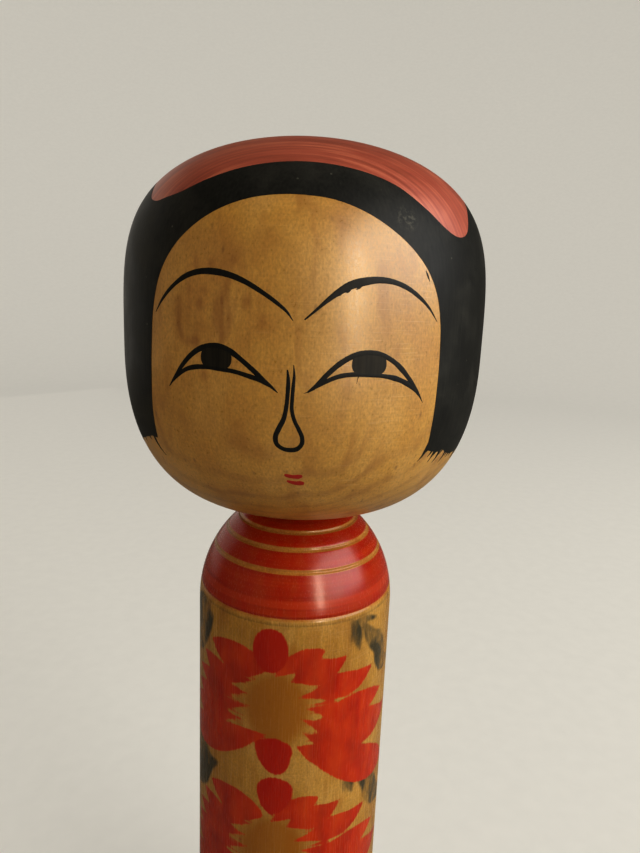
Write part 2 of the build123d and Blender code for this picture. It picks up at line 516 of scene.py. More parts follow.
# %% [markdown]
# ## Hair and crown
#
# The hair is one area of black ink: a bob that frames the face, cut straight across at the jaw, where
# the brush lifts and leaves ragged tips.  It leaves the crown free for a red patch.  The face's edge is
# a smooth arch, and the crown's edge is drawn in plan, seen from above.

# %% The edges of the face and the crown
FACE_EDGE = np.array([          # (azimuth in degrees, height in mm), from the left jaw over the brow
    (-44.5, 205.0), (-45.0, 215.0), (-45.2, 223.5), (-44.4, 231.0), (-43.1, 240.0), (-42.5, 249.0),
    (-41.4, 258.0), (-38.6, 265.8), (-34.4, 271.3), (-28.8, 275.8), (-21.5, 279.6), (-13.4, 282.0),
    (-5.6, 283.0), (2.1, 283.1), (10.1, 282.4), (18.0, 280.3), (25.8, 276.7), (32.4, 272.3),
    (37.0, 267.8), (40.0, 262.8), (41.8, 256.5), (42.5, 249.0), (42.6, 241.0), (42.9, 233.0),
    (43.4, 225.3), (43.6, 215.0), (43.0, 205.0), (0.0, 197.0),
])
CROWN_EDGE = np.array([         # (x, y) in mm, seen from above
    (0.0, -40.0), (11.8, -39.4), (21.2, -38.2), (28.4, -37.0), (34.0, -34.6), (38.2, -30.8),
    (40.8, -26.2), (41.4, -21.0), (41.6, -12.0), (40.0, -1.0), (35.5, 9.5), (27.5, 17.5), (15.0, 22.5),
    (0.0, 24.0), (-15.0, 22.5), (-27.0, 17.5), (-34.5, 9.5), (-38.6, -1.0), (-39.4, -12.0),
    (-38.2, -21.0), (-37.2, -27.4), (-35.0, -31.0), (-31.6, -34.0), (-28.0, -36.4), (-20.4, -38.8),
    (-11.8, -39.8),
])
degree = head_high[0] * np.pi / 180   # millimetres to a degree round the cheeks
face_outline = closed_outline(FACE_EDGE * [degree, 1.0])
crown_outline = closed_outline(CROWN_EDGE)


def crown_distance(azimuth, walk):
    points = HEAD.place(azimuth, walk)
    away = distance_to_edge(points[..., 0], points[..., 1], crown_outline)
    return np.where(points[..., 2] < 262.0, 20.0, away)


# %% The hair
TIPS = [                        # ends where the brush lifts: (azimuth, height, width), root to tip
    [(44.4, 227.5, 1.8), (43.5, 225.3, 1.4), (42.4, 223.3, 0.7), (41.2, 222.1, 0.1)],
    [(45.6, 227.0, 1.7), (44.6, 225.5, 1.2), (42.7, 223.7, 0.1)],
    [(47.2, 226.0, 1.7), (46.6, 224.1, 1.0), (45.4, 222.8, 0.1)],
    [(49.2, 227.5, 2.3), (48.4, 224.5, 1.4), (47.6, 222.5, 0.7), (46.6, 221.1, 0.1)],
    [(50.4, 226.5, 1.8), (49.8, 224.8, 1.2), (48.5, 222.8, 0.1)],
    [(52.0, 226.5, 2.1), (51.4, 223.5, 1.4), (50.6, 221.7, 0.7), (49.6, 220.6, 0.1)],
    [(54.4, 226.0, 1.8), (53.6, 224.5, 1.2), (51.9, 222.5, 0.1)],
    [(57.0, 225.5, 2.3), (56.2, 222.9, 1.4), (55.2, 221.1, 0.7), (54.0, 219.9, 0.1)],
    [(58.8, 225.0, 2.3), (58.2, 222.9, 1.4), (56.8, 221.3, 0.1)],
    [(61.0, 225.0, 3.4), (60.4, 222.4, 1.8), (58.4, 220.7, 0.1)],
    [(63.5, 225.0, 3.4), (63.0, 222.2, 1.8), (61.1, 220.5, 0.1)],
    [(-47.7, 227.0, 1.8), (-47.3, 223.8, 1.3), (-45.9, 221.8, 0.7), (-44.0, 220.0, 0.1)],
    [(-52.0, 227.0, 3.0), (-51.6, 224.6, 1.8), (-50.4, 223.2, 0.1)],
    [(-58.0, 227.0, 3.0), (-57.4, 223.6, 1.8), (-56.4, 221.8, 0.1)],
]
HAIR_END = np.array([           # (azimuth, height) of the line at which the bob is cut
    (-180.0, 221.0), (-120.0, 221.4), (-66.0, 221.3), (-61.7, 221.6), (-55.0, 223.2), (-49.0, 224.6),
    (0.0, 225.8), (41.0, 225.6), (46.0, 224.4), (50.0, 223.6), (52.7, 224.1), (55.5, 222.8),
    (60.0, 221.6), (66.0, 221.2), (120.0, 221.5), (180.0, 221.0),
])


def ragged_tips(seed=7):
    """Short tips all round the back of the bob, each a little different."""
    draw = np.random.default_rng(seed)
    tips = []
    for middle in np.arange(66.5, 296.0, 2.3):
        azimuth = middle + draw.uniform(-0.9, 0.9)
        azimuth = azimuth if azimuth < 180 else azimuth - 360
        fall = draw.uniform(0.5, 2.2)
        lean = draw.uniform(-1.4, 0.4)
        width = draw.uniform(1.4, 2.6)
        tips.append([
            (azimuth, 224.0, width), (azimuth, 221.4, width * 0.7), (azimuth + lean, 221.0 - fall, 0.1),
        ])
    return tips


def hair_distance(azimuth, walk):
    """Outside the face, outside the crown and above the cut."""
    azimuth = np.where(azimuth > 180.0, azimuth - 360.0, azimuth)
    height = HEAD.at(walk)[1]
    x = azimuth * degree
    face = distance_to_edge(x, height, face_outline)
    cut = np.interp(azimuth, *HAIR_END.T) - height
    return np.maximum(np.maximum(cut, -face), -crown_distance(azimuth, walk))


hair_ink = paint_film(
    "hair_ink", HEAD, np.linspace(0.0, 360.0, 401), np.linspace(8.0, head_walk(216.0), 160), hair_distance
)
hair_tips = brush_marks("hair_tips", TIPS + ragged_tips(), count=24)

# %% The red crown
crown_dye = paint_film(
    "crown_dye", HEAD, np.linspace(0.0, 360.0, 241), np.linspace(0.0, head_walk(264.0), 90),
    lambda azimuth, walk: crown_distance(azimuth, walk) - 0.4, film=0.03,
)

# %% [markdown]
# ## The face
#
# The face is drawn with the tip of a fine brush: two arched brows, two lids to each eye with a dark iris
# between them, a long drop-shaped nose in two strokes, and two short red strokes for the mouth.

# %% Brows, lids, nose and mouth
MARKS = {                       # each place is (azimuth in degrees, height in mm, width in mm)
    "brow_left": [
        (-40.3, 256.6, 0.25), (-37.6, 259.5, 0.75), (-33.0, 263.0, 1.15), (-28.6, 265.2, 1.4),
        (-24.0, 266.2, 1.55), (-20.0, 266.2, 1.65), (-16.0, 265.6, 1.55), (-11.6, 264.2, 1.25),
        (-7.4, 262.2, 1.05), (-3.6, 260.0, 0.9), (-1.1, 258.2, 0.65), (0.4, 256.4, 0.15),
    ],
    "brow_right": [
        (3.2, 256.7, 0.35), (6.2, 259.1, 0.75), (8.7, 261.1, 1.15), (11.3, 262.9, 1.6),
        (14.2, 264.4, 2.0),
        (17.6, 265.3, 2.1), (21.4, 265.8, 1.75), (25.2, 265.6, 1.4), (29.4, 264.5, 1.25),
        (33.4, 262.6, 1.05), (37.0, 260.2, 0.7), (40.4, 257.0, 0.15),
    ],
    "upper_lid_left": [
        (-35.0, 239.4, 0.3), (-32.3, 242.3, 0.9), (-29.8, 245.0, 1.25), (-27.3, 247.2, 1.3),
        (-24.3, 249.0, 1.4), (-21.0, 249.9, 1.5), (-18.4, 249.9, 1.55), (-15.6, 249.1, 1.5),
        (-12.4, 247.3, 1.35), (-9.5, 245.3, 1.3), (-6.7, 243.2, 1.1), (-4.6, 241.7, 0.75),
        (-2.9, 240.4, 0.2),
    ],
    "lower_lid_left": [
        (-34.0, 240.4, 0.4), (-31.6, 242.3, 0.9), (-28.6, 244.0, 1.15), (-25.4, 244.8, 1.25),
        (-21.9, 245.0, 1.1), (-18.4, 244.8, 1.05), (-14.8, 244.6, 1.15), (-11.0, 243.9, 1.2),
        (-7.6, 243.0, 1.1), (-4.8, 241.7, 0.5),
    ],
    "upper_lid_right": [
        (4.6, 240.8, 0.45), (6.6, 242.3, 0.95), (9.2, 244.8, 1.3), (12.1, 247.2, 1.4),
        (15.4, 249.0, 1.45),
        (19.2, 249.8, 1.5), (23.0, 249.5, 1.4), (26.5, 248.1, 1.3), (29.7, 245.9, 1.3),
        (32.6, 243.2, 1.2), (35.0, 240.8, 0.85), (36.6, 239.0, 0.4), (37.5, 237.9, 0.12),
    ],
    "lower_lid_right": [
        (5.6, 241.4, 0.5), (8.6, 243.1, 1.0), (12.2, 244.5, 1.2), (15.8, 245.0, 1.2),
        (19.5, 244.9, 1.05),
        (24.3, 244.6, 1.15), (28.5, 243.8, 1.3), (32.0, 242.4, 1.2), (34.6, 240.8, 0.75),
        (35.6, 239.7, 0.2),
    ],
    "nose_line": [
        (-0.6, 245.7, 0.35), (-0.35, 243.6, 0.9), (-0.4, 240.2, 1.0), (-0.7, 237.0, 1.1),
        (-1.3, 234.4, 1.25),
        (-2.5, 232.1, 1.35), (-3.4, 230.0, 1.35), (-3.1, 228.3, 1.25), (-1.5, 227.2, 1.15),
        (0.6, 226.9, 1.3),
        (2.3, 227.2, 1.3), (3.6, 228.6, 1.2), (3.6, 230.1, 1.15), (2.7, 232.0, 1.05),
        (1.5, 234.1, 0.95),
        (0.8, 236.4, 0.9), (0.8, 239.4, 0.9), (1.0, 242.6, 0.85), (1.1, 244.8, 0.6), (0.9, 246.8, 0.15),
    ],
    "lip_upper": [
        (-1.1, 220.3, 0.5), (-0.5, 220.1, 1.0), (1.4, 219.8, 1.25), (3.2, 219.9, 1.3),
        (4.1, 220.1, 0.8),
    ],
    "lip_lower": [
        (-0.4, 218.6, 0.5), (0.5, 218.3, 1.05), (2.2, 218.0, 1.35), (3.8, 218.0, 1.45),
        (4.7, 217.9, 1.0),
    ],
    "hair_fleck": [(35.6, 268.4, 0.2), (36.2, 267.4, 0.6), (37.0, 266.0, 0.12)],
}
STRAYS = {                      # where the bristles spread as the brush ran dry
    "brow_right": [
        [(11.9, 262.8, 0.8), (11.6, 262.4, 0.6), (11.0, 262.0, 0.1)],
        [(13.9, 263.6, 1.0), (13.5, 263.1, 0.7), (12.9, 262.8, 0.1)],
        [(16.6, 264.4, 1.0), (16.3, 264.0, 0.7), (15.6, 263.6, 0.1)],
    ],
    "lower_lid_right": [[(17.4, 244.8, 0.3), (17.1, 243.9, 0.16), (16.9, 242.9, 0.06)]],
    "upper_lid_right": [[(6.2, 241.6, 0.5), (4.8, 240.9, 0.3), (3.6, 240.5, 0.06)]],
}
marks = {name: brush_marks(name, [places] + STRAYS.get(name, [])) for name, places in MARKS.items()}

# %% Irises
IRISES = {                      # azimuth, height, half width and half height of each iris
    "iris_left": (-19.4, 247.3, 3.95, 2.8),
    "iris_right": (20.1, 247.3, 4.2, 2.8),
}


def iris_distance(azimuth, walk, shape):
    """An upright oval, as a superellipse: (|x|/a)**2.4 + (|y|/b)**2.4 = 1."""
    middle, height, half_wide, half_high = shape
    x = np.abs(azimuth - middle) * degree / half_wide
    y = np.abs(HEAD.at(walk)[1] - height) / half_high
    return ((x**2.4 + y**2.4) ** (1 / 2.4) - 1) * min(half_wide, half_high)


irises = []
for name, shape in IRISES.items():
    around = np.linspace(shape[0] - 6.5, shape[0] + 6.5, 60)
    down = np.linspace(head_walk(shape[1] + 4.0), head_walk(shape[1] - 4.0), 40)
    irises.append(paint_film(
        name, HEAD, around, down, lambda a, w, s=shape: iris_distance(a, w, s), film=0.035
    ))

# %% [markdown]
# ## Flowers on the body
#
# The chrysanthemums are stacked one above another.  Each has a bud on top, petals that sweep out and up
# on both sides from a pale heart, and a bud below.  A petal is one stroke of dye: a point at the heart,
# a swelling in the middle and a point at the tip.  The dye soaks in, so it is stored on the wood's own
# mesh as the distance to the nearest stroke, and the finish draws its edge.

# %% One flower
FLOWER_PITCH = 48.4             # from one flower to the next
FLOWER_TOP = 170.6              # top of the first bud
FLOWER_COUNT = 3
arc = body_radius * np.pi / 180   # millimetres to a degree round the barrel

# Each place is (azimuth in degrees from the face, mm below the flower's top, width in mm).
PETALS_RIGHT = [
    [(-6.0, 14.6, 0.4), (2.0, 11.2, 4.6), (9.0, 9.2, 6.4), (15.0, 7.8, 4.2), (20.5, 6.6, 0.3)],
    [(3.0, 16.0, 0.5), (10.0, 14.2, 5.0), (17.0, 13.4, 8.0), (25.0, 12.4, 5.4), (34.0, 10.0, 0.3)],
    [(7.0, 21.0, 0.3), (17.0, 20.2, 3.2), (29.0, 19.0, 8.0), (41.0, 19.0, 6.4), (55.0, 16.9, 0.3)],
    [(11.0, 24.6, 0.3), (19.0, 25.4, 2.6), (28.0, 27.2, 6.0), (41.0, 27.6, 8.4),
     (54.0, 27.8, 6.0), (67.0, 27.9, 0.3)],
    [(9.0, 28.0, 0.3), (19.0, 30.6, 3.4), (28.0, 32.6, 8.0), (40.0, 34.6, 10.8),
     (54.0, 37.0, 11.0), (68.0, 37.6, 6.0),
     (80.0, 36.6, 0.3)],
    [(11.0, 33.0, 0.3), (20.0, 35.6, 4.0), (34.0, 40.0, 8.0), (46.0, 42.0, 4.0)],
    [(7.0, 37.0, 0.3), (14.0, 38.8, 4.5), (23.0, 41.0, 8.0), (33.0, 44.6, 10.0), (50.0, 49.8, 12.0),
     (66.0, 54.0, 9.0), (82.0, 58.0, 0.4)],
]
PETALS_LEFT = [
    [(-11.0, 13.2, 0.4), (-18.0, 12.4, 6.0), (-27.0, 12.0, 10.2), (-38.0, 11.0, 7.4),
     (-49.0, 9.7, 0.3)],
    [(-17.0, 16.8, 0.3), (-29.0, 18.4, 2.6), (-36.0, 18.6, 5.0), (-46.0, 18.0, 6.4),
     (-58.0, 15.6, 0.3)],
    [(-21.0, 21.6, 0.3), (-31.0, 22.6, 2.4), (-38.0, 23.0, 4.8), (-48.0, 23.2, 6.5),
     (-66.0, 22.6, 0.3)],
    [(-21.0, 26.0, 0.3), (-31.0, 27.2, 2.2), (-38.0, 27.8, 4.6), (-50.0, 28.8, 7.0),
     (-70.0, 28.6, 0.3)],
    [(-24.0, 30.6, 0.3), (-33.0, 31.6, 2.0), (-41.0, 32.6, 4.6), (-56.0, 34.4, 7.5),
     (-76.0, 34.2, 0.3)],
    [(-10.0, 34.0, 0.3), (-18.0, 35.2, 3.6), (-29.0, 37.4, 7.8), (-49.0, 41.6, 11.0),
     (-68.0, 44.4, 8.0),
     (-84.0, 46.0, 0.3)],
]
FIRST_BUD = [[(-9.0, 4.9, 9.4), (-9.0, 6.8, 10.2), (-8.8, 9.2, 8.8), (-8.2, 12.2, 2.4)]]
NEXT_BUD = [
    [(-8.4, 3.4, 6.4), (-4.5, 3.5, 7.4), (-0.6, 3.3, 6.4)],
    [(-4.6, 4.6, 10.6), (-5.2, 7.4, 8.2), (-5.8, 10.0, 4.0), (-6.0, 12.0, 0.8)],
]
LOWER_BUD = [
    [(-11.2, 38.2, 5.6), (-6.4, 38.6, 7.2), (-1.6, 38.8, 6.6)],
    [(-5.8, 39.8, 10.2), (-4.6, 42.4, 8.0), (-3.6, 44.6, 4.2), (-3.2, 46.0, 0.8)],
]
LEAVES = [
    [(-50.0, 2.6, 2.4), (-58.0, 6.0, 8.6), (-66.0, 12.0, 10.0), (-75.0, 19.0, 3.0)],
    [(-54.0, 0.6, 2.4), (-66.0, 2.4, 6.6), (-80.0, 7.0, 2.0)],
    [(36.0, -0.4, 1.2), (38.5, 1.6, 3.6), (40.5, 5.0, 4.0), (42.6, 9.2, 1.0)],
    [(35.0, 3.0, 0.5), (36.0, 5.6, 1.2), (36.6, 8.0, 0.4)],
    [(36.0, 0.2, 0.8), (44.0, 0.2, 2.4), (56.0, 1.6, 0.8)],
    [(44.0, 1.0, 1.0), (48.0, 4.2, 3.2), (53.0, 7.6, 5.2), (60.0, 11.0, 6.6), (68.0, 15.0, 3.0)],
    [(60.0, 8.0, 3.0), (62.0, 14.0, 6.6), (67.0, 19.0, 6.0), (80.0, 21.0, 1.0)],
    [(-43.0, 50.4, 1.2), (-54.0, 54.0, 6.5), (-62.0, 60.0, 8.5), (-71.0, 67.0, 2.0)],
    [(52.0, 58.8, 1.0), (58.0, 61.8, 6.0), (67.0, 66.4, 7.0), (80.0, 73.0, 1.0)],
]
HEART = [[(-5.0, 20.4, 14.0), (-5.0, 25.0, 20.0), (-5.0, 30.0, 15.0)]]
WASH = [[(3.0, 5.5, 0.6), (4.4, 7.6, 2.0), (3.4, 10.4, 0.6)]]   # a smear beside the first bud only


def heart_fringe(seed=11):
    """Fine points where the bristles lift, on both sides of the heart."""
    draw = np.random.default_rng(seed)
    fringe = []
    for side, first, last, edge in ((1, 16.5, 37.0, 16.0), (-1, 15.5, 33.0, -27.0)):
        for drop in np.arange(first, last, 1.7):
            tip = edge - side * draw.uniform(0.0, 8.5)
            fall = drop + draw.uniform(-0.6, 0.6)
            fringe.append([
                (edge + side * 10.0, fall - 0.5, 1.7), (edge + side * 4.0, fall, 0.8),
                (tip, fall + 0.3, 0.1),
            ])
    return fringe


def flower_strokes(strokes, flowers=range(FLOWER_COUNT)):
    """The same strokes on each flower of the stack, in millimetres round the barrel and up it."""
    placed = []
    for k in flowers:
        top = FLOWER_TOP - k * FLOWER_PITCH
        placed += [[(a * arc, top - drop, wide) for a, drop, wide in stroke] for stroke in strokes]
    return placed


# %% Storing the dye on the body
BARE_RING = 0.70                # half the width of the bare wood left at each scored ring
BASE_BANDS = ((3.0, 8.4), (10.0, 10.8))   # red bands turned round the foot: lowest and highest heights
BASE_LINES = ((12.2, 12.9), (1.4, 2.0))   # thin dark lines beside them
HEM_LINE = (171.5, 172.2)       # thin dark line under the shoulder colour


def band_distance(height, bands):
    """Signed distance to a set of level bands."""
    edges = [np.abs(height - (low + high) / 2) - (high - low) / 2 for low, high in bands]
    return np.min(edges, axis=0)


def store(obj, name, values):
    attribute = obj.data.attributes.new(name, "FLOAT", "POINT")
    attribute.data.foreach_set("value", np.asarray(values, np.float32))


round_mm = body_a * arc
up_mm = body_points[:, 2]
hem_height = BODY.at(scored_walks[-1])[1]
from_ring = np.abs(np.subtract.outer(body_w, scored_walks[:-1])).min(-1)
shoulder_red = np.maximum(hem_height - 0.1 - up_mm, BARE_RING - from_ring)
shoulder_red = np.where(body_w < scored_walks[0] - 12.0, 5.0, shoulder_red)
petal_strokes = flower_strokes(PETALS_RIGHT + PETALS_LEFT + heart_fringe())
petals = distance_to_strokes(round_mm, up_mm, petal_strokes)
bud_strokes = flower_strokes(FIRST_BUD, [0]) + flower_strokes(NEXT_BUD, range(1, FLOWER_COUNT))
buds = distance_to_strokes(round_mm, up_mm, bud_strokes + flower_strokes(LOWER_BUD))
red = np.minimum.reduce([petals, buds, shoulder_red, band_distance(up_mm, BASE_BANDS)])
store(body_wood, "red_dye", np.clip(np.where(up_mm < 0.9, 5.0, red), -5, 5))
store(body_wood, "bud_dye", np.clip(np.minimum(buds, 5.0), -5, 5))
leaves = distance_to_strokes(round_mm, up_mm, flower_strokes(LEAVES))
store(body_wood, "leaf_ink", np.clip(leaves, -5, 5))
hearts = flower_strokes(HEART) + flower_strokes(WASH, [0])
store(body_wood, "heart_dye", np.clip(distance_to_strokes(round_mm, up_mm, hearts), -5, 5))
store(body_wood, "dark_line", np.clip(band_distance(up_mm, BASE_LINES + (HEM_LINE,)), -5, 5))
print("dye stored for", len(round_mm), "points")

# %% Amber stains on the head
AMBER = [                       # (azimuth, height, width)
    [(-31.8, 260.1, 1.0), (-31.7, 257.3, 1.6), (-30.8, 252.8, 1.0), (-28.9, 250.6, 1.0),
     (-25.2, 250.9, 1.6)],
    [(-27.8, 263.0, 0.8), (-27.5, 262.0, 1.4), (-27.2, 260.9, 0.6)],
    [(-23.1, 262.8, 1.0), (-23.0, 262.1, 1.6), (-23.0, 261.4, 0.6)],
    [(-24.4, 260.2, 0.8), (-24.3, 259.2, 2.0), (-24.2, 258.2, 0.6)],
    [(-16.1, 264.5, 0.8), (-17.2, 262.0, 1.6), (-18.3, 259.0, 2.2), (-18.4, 255.0, 2.2),
     (-17.9, 251.3, 1.0)],
    [(-14.9, 260.2, 0.5), (-15.5, 256.4, 1.2), (-16.8, 251.9, 0.6)],
    [(-26.0, 269.8, 0.4), (-26.0, 268.4, 1.0), (-26.0, 267.2, 1.2)],
    [(-21.5, 268.4, 0.6), (-21.5, 267.8, 1.2), (-21.5, 267.2, 0.6)],
    [(-14.7, 269.6, 0.6), (-14.7, 268.9, 1.2), (-14.6, 268.2, 0.6)],
    [(-11.2, 261.4, 0.5), (-11.4, 260.0, 1.4), (-11.6, 258.8, 0.5)],
    [(-7.2, 256.9, 0.4), (-7.5, 255.4, 1.2), (-7.9, 253.6, 0.4)],
    [(-22.9, 243.7, 0.6), (-23.0, 243.0, 1.2), (-23.2, 242.2, 0.4)],
]
flat_stains = [[(a * degree, height, wide) for a, height, wide in stroke] for stroke in AMBER]
turned = np.where(head_a > 180.0, head_a - 360.0, head_a) * degree
from_stain = distance_to_strokes(turned, HEAD.at(head_w)[1], flat_stains)
store(head_wood, "amber_stain", np.clip(from_stain, -5, 5))

# %% [markdown]
# ## Finishes
#
# Colours are picked as they look on a screen, in sRGB hex, and turned to linear light by one function.
# One more function adds a shader node with its settings and its inputs, and gives back an output of it.
# The functions after it each join a few nodes that a finish needs again and again.

# %% Colour and node helpers
def linear(colour):
    """sRGB hex to linear red, green, blue and alpha."""
    values = np.array([int(colour[k:k + 2], 16) for k in (1, 3, 5)]) / 255
    values = np.where(values <= 0.04045, values / 12.92, ((values + 0.055) / 1.055) ** 2.4)
    return (*values.tolist(), 1.0)


def node(tree, kind, inputs=(), stops=(), out=0, **settings):
    """Add a node: settings are its own, inputs are values or sockets, stops are a ramp's colours."""
    made = tree.nodes.new("ShaderNode" + kind)
    for key, value in settings.items():
        setattr(made, key, value)
    for key, value in dict(inputs).items():
        if isinstance(value, bpy.types.NodeSocket):
            tree.links.new(value, made.inputs[key])
        else:
            made.inputs[key].default_value = value
    for k, (place, colour) in enumerate(stops):
        elements = made.color_ramp.elements
        stop = elements[k] if k < 2 else elements.new(place)
        stop.position, stop.color = place, linear(colour)
    return made.outputs[out] if made.outputs else None


# %% Patterns, sums and coats
def place_in_mm(tree):
    """Where a point of the piece is, in millimetres."""
    spot = node(tree, "TexCoord", out="Object")
    return node(tree, "VectorMath", {0: spot, 1: (1 / MM,) * 3}, operation="MULTIPLY")


def figure(tree, place, sizes, **inputs):
    """Soft blots, from 0 to 1, whose sizes along x, y and z are given in mm."""
    at = node(tree, "VectorMath", {0: place, 1: [1 / size for size in sizes]}, operation="MULTIPLY")
    return node(tree, "TexNoise", {"Vector": at, "Scale": 1.0, **inputs})


def scatter(tree, place, sizes):
    """One spot in each cell of the given sizes: the distance to it in cells, and its own random value."""
    at = node(tree, "VectorMath", {0: place, 1: [1 / size for size in sizes]}, operation="MULTIPLY")
    distance = node(tree, "TexVoronoi", {"Vector": at, "Scale": 1.0}, feature="F1", out="Distance")
    return distance, node(tree, "SeparateColor", {0: distance.node.outputs["Color"]})


def product(tree, value, *others):
    for other in others:
        value = node(tree, "Math", {0: value, 1: other}, operation="MULTIPLY")
    return value


def weighted_sum(tree, total, parts):
    """total plus each part times its weight."""
    for part, weight in parts:
        total = node(tree, "Math", {0: part, 1: weight, 2: total}, operation="MULTIPLY_ADD")
    return total


def coats(tree, colour, layers):
    """Lay coats over a colour: each is (share, colour), and a share of 1 hides what is under it."""
    for share, coat in layers:
        coat = linear(coat) if isinstance(coat, str) else coat
        colour = node(tree, "Mix", {0: share, 6: colour, 7: coat}, out=2, data_type="RGBA")
    return colour


def mask(tree, name, creep, soft):
    """1 inside a stored area and 0 outside, with an edge that is soft mm wide and creeps."""
    stored = node(tree, "Attribute", out="Fac", attribute_name=name)
    nudged = node(tree, "Math", {0: stored, 1: creep}, operation="ADD")
    edge = {0: nudged, 1: -soft, 2: soft, 3: 1.0, 4: 0.0}
    return node(tree, "MapRange", edge, interpolation_type="SMOOTHSTEP")


# %% A material and its surface
def new_material(name):
    material = bpy.data.materials.new(name)
    material.use_nodes = True
    material.node_tree.nodes.clear()
    return material, material.node_tree


def finish_surface(tree, colour, roughness, height, bump_mm, specular=0.5, wax=0.0):
    """The shader itself.  roughness is a value, or (pattern, smoothest, roughest)."""
    if isinstance(roughness, tuple):
        pattern, smoothest, roughest = roughness
        roughness = node(tree, "MapRange", {0: pattern, 1: 0.3, 2: 0.7, 3: smoothest, 4: roughest})
    bump = node(tree, "Bump", {"Strength": 1.0, "Distance": bump_mm * MM, "Height": height})
    surface = node(tree, "BsdfPrincipled", {
        "Base Color": colour, "Roughness": roughness, "Normal": bump,
        "IOR": 1.5, "Specular IOR Level": specular, "Coat Weight": wax, "Coat Roughness": 0.5,
    })
    node(tree, "OutputMaterial", {"Surface": surface})
    return surface.node


# %% [markdown]
# ## Turned dogwood
#
# Dogwood is pale and close-grained, and it ambers with age and handling.  These show on it: growth
# rings, fine upright fibres, a silky mottle, short dark flecks, the level marks of the turning tool and
# faint scratches.  The scratches' pale colour is painted stronger towards +X, the window's side, as a
# painted highlight.  Rings are distances from the tree's pith, which runs through the doll near its axis.
# So they meet a straight cheek as broad upright flames, and they cross the jaw as level streaks.

# %% The wood's colour, as nodes
PITH = (5.0, 15.0)              # where the tree's centre lay, in mm from the doll's axis
RING_SPACING = 2.9              # mm between growth rings
RING_WANDER = 10.0              # mm by which a ring strays from a true circle
FULL_TURN = 6.2832
WOOD_SIZES = {                  # mm across each pattern, along x, y and z
    "wander": (30, 30, 120),
    "fibres": (0.34, 0.34, 9),
    "streaks": (2.4, 2.4, 34),
    "blotches": (17, 17, 26),
    "silk": (0.5, 0.5, 0.8),
    "mottle": (5, 5, 19),
    "scratches": (8, 8, 0.3),
    "tool_passes": (np.inf, np.inf, 0.42),
    "flecks": (2.6, 2.6, 6.76),
}
FLECKED_SHARE = 0.2             # share of the cells that hold a dark fleck
WOOD_TONES = [(0.30, "#bd893a"), (0.50, "#c99844"), (0.70, "#d3a456")]
RING_BROWN, TOOL_BROWN, MOTTLE_BROWN, FLECK_BROWN = "#925f24", "#8a5a26", "#a06a22", "#6b4017"
# The scratch colour is partly the scratches' own pale wood and partly a painted highlight, the window's glint on them.
SCRATCH_PALE_AND_GLINT, STAIN_AMBER = "#e2bd84", "#8a5012"


def growth_rings(tree, place):
    """max(0, sin(2 pi (distance to the pith + wander) / spacing)), a little narrowed."""
    wander = figure(tree, place, WOOD_SIZES["wander"], Detail=2.0)
    from_pith = node(tree, "VectorMath", {0: place, 1: (*PITH, 0.0)}, operation="SUBTRACT")
    level = node(tree, "VectorMath", {0: from_pith, 1: (1.0, 1.0, 0.012)}, operation="MULTIPLY")
    reach = node(tree, "VectorMath", {0: level}, operation="LENGTH", out="Value")
    bent = weighted_sum(tree, reach, [(wander, RING_WANDER)])
    wave = node(tree, "Math", {0: product(tree, bent, FULL_TURN / RING_SPACING)}, operation="SINE")
    return node(tree, "MapRange", {0: wave, 1: 0.1, 2: 1.0})


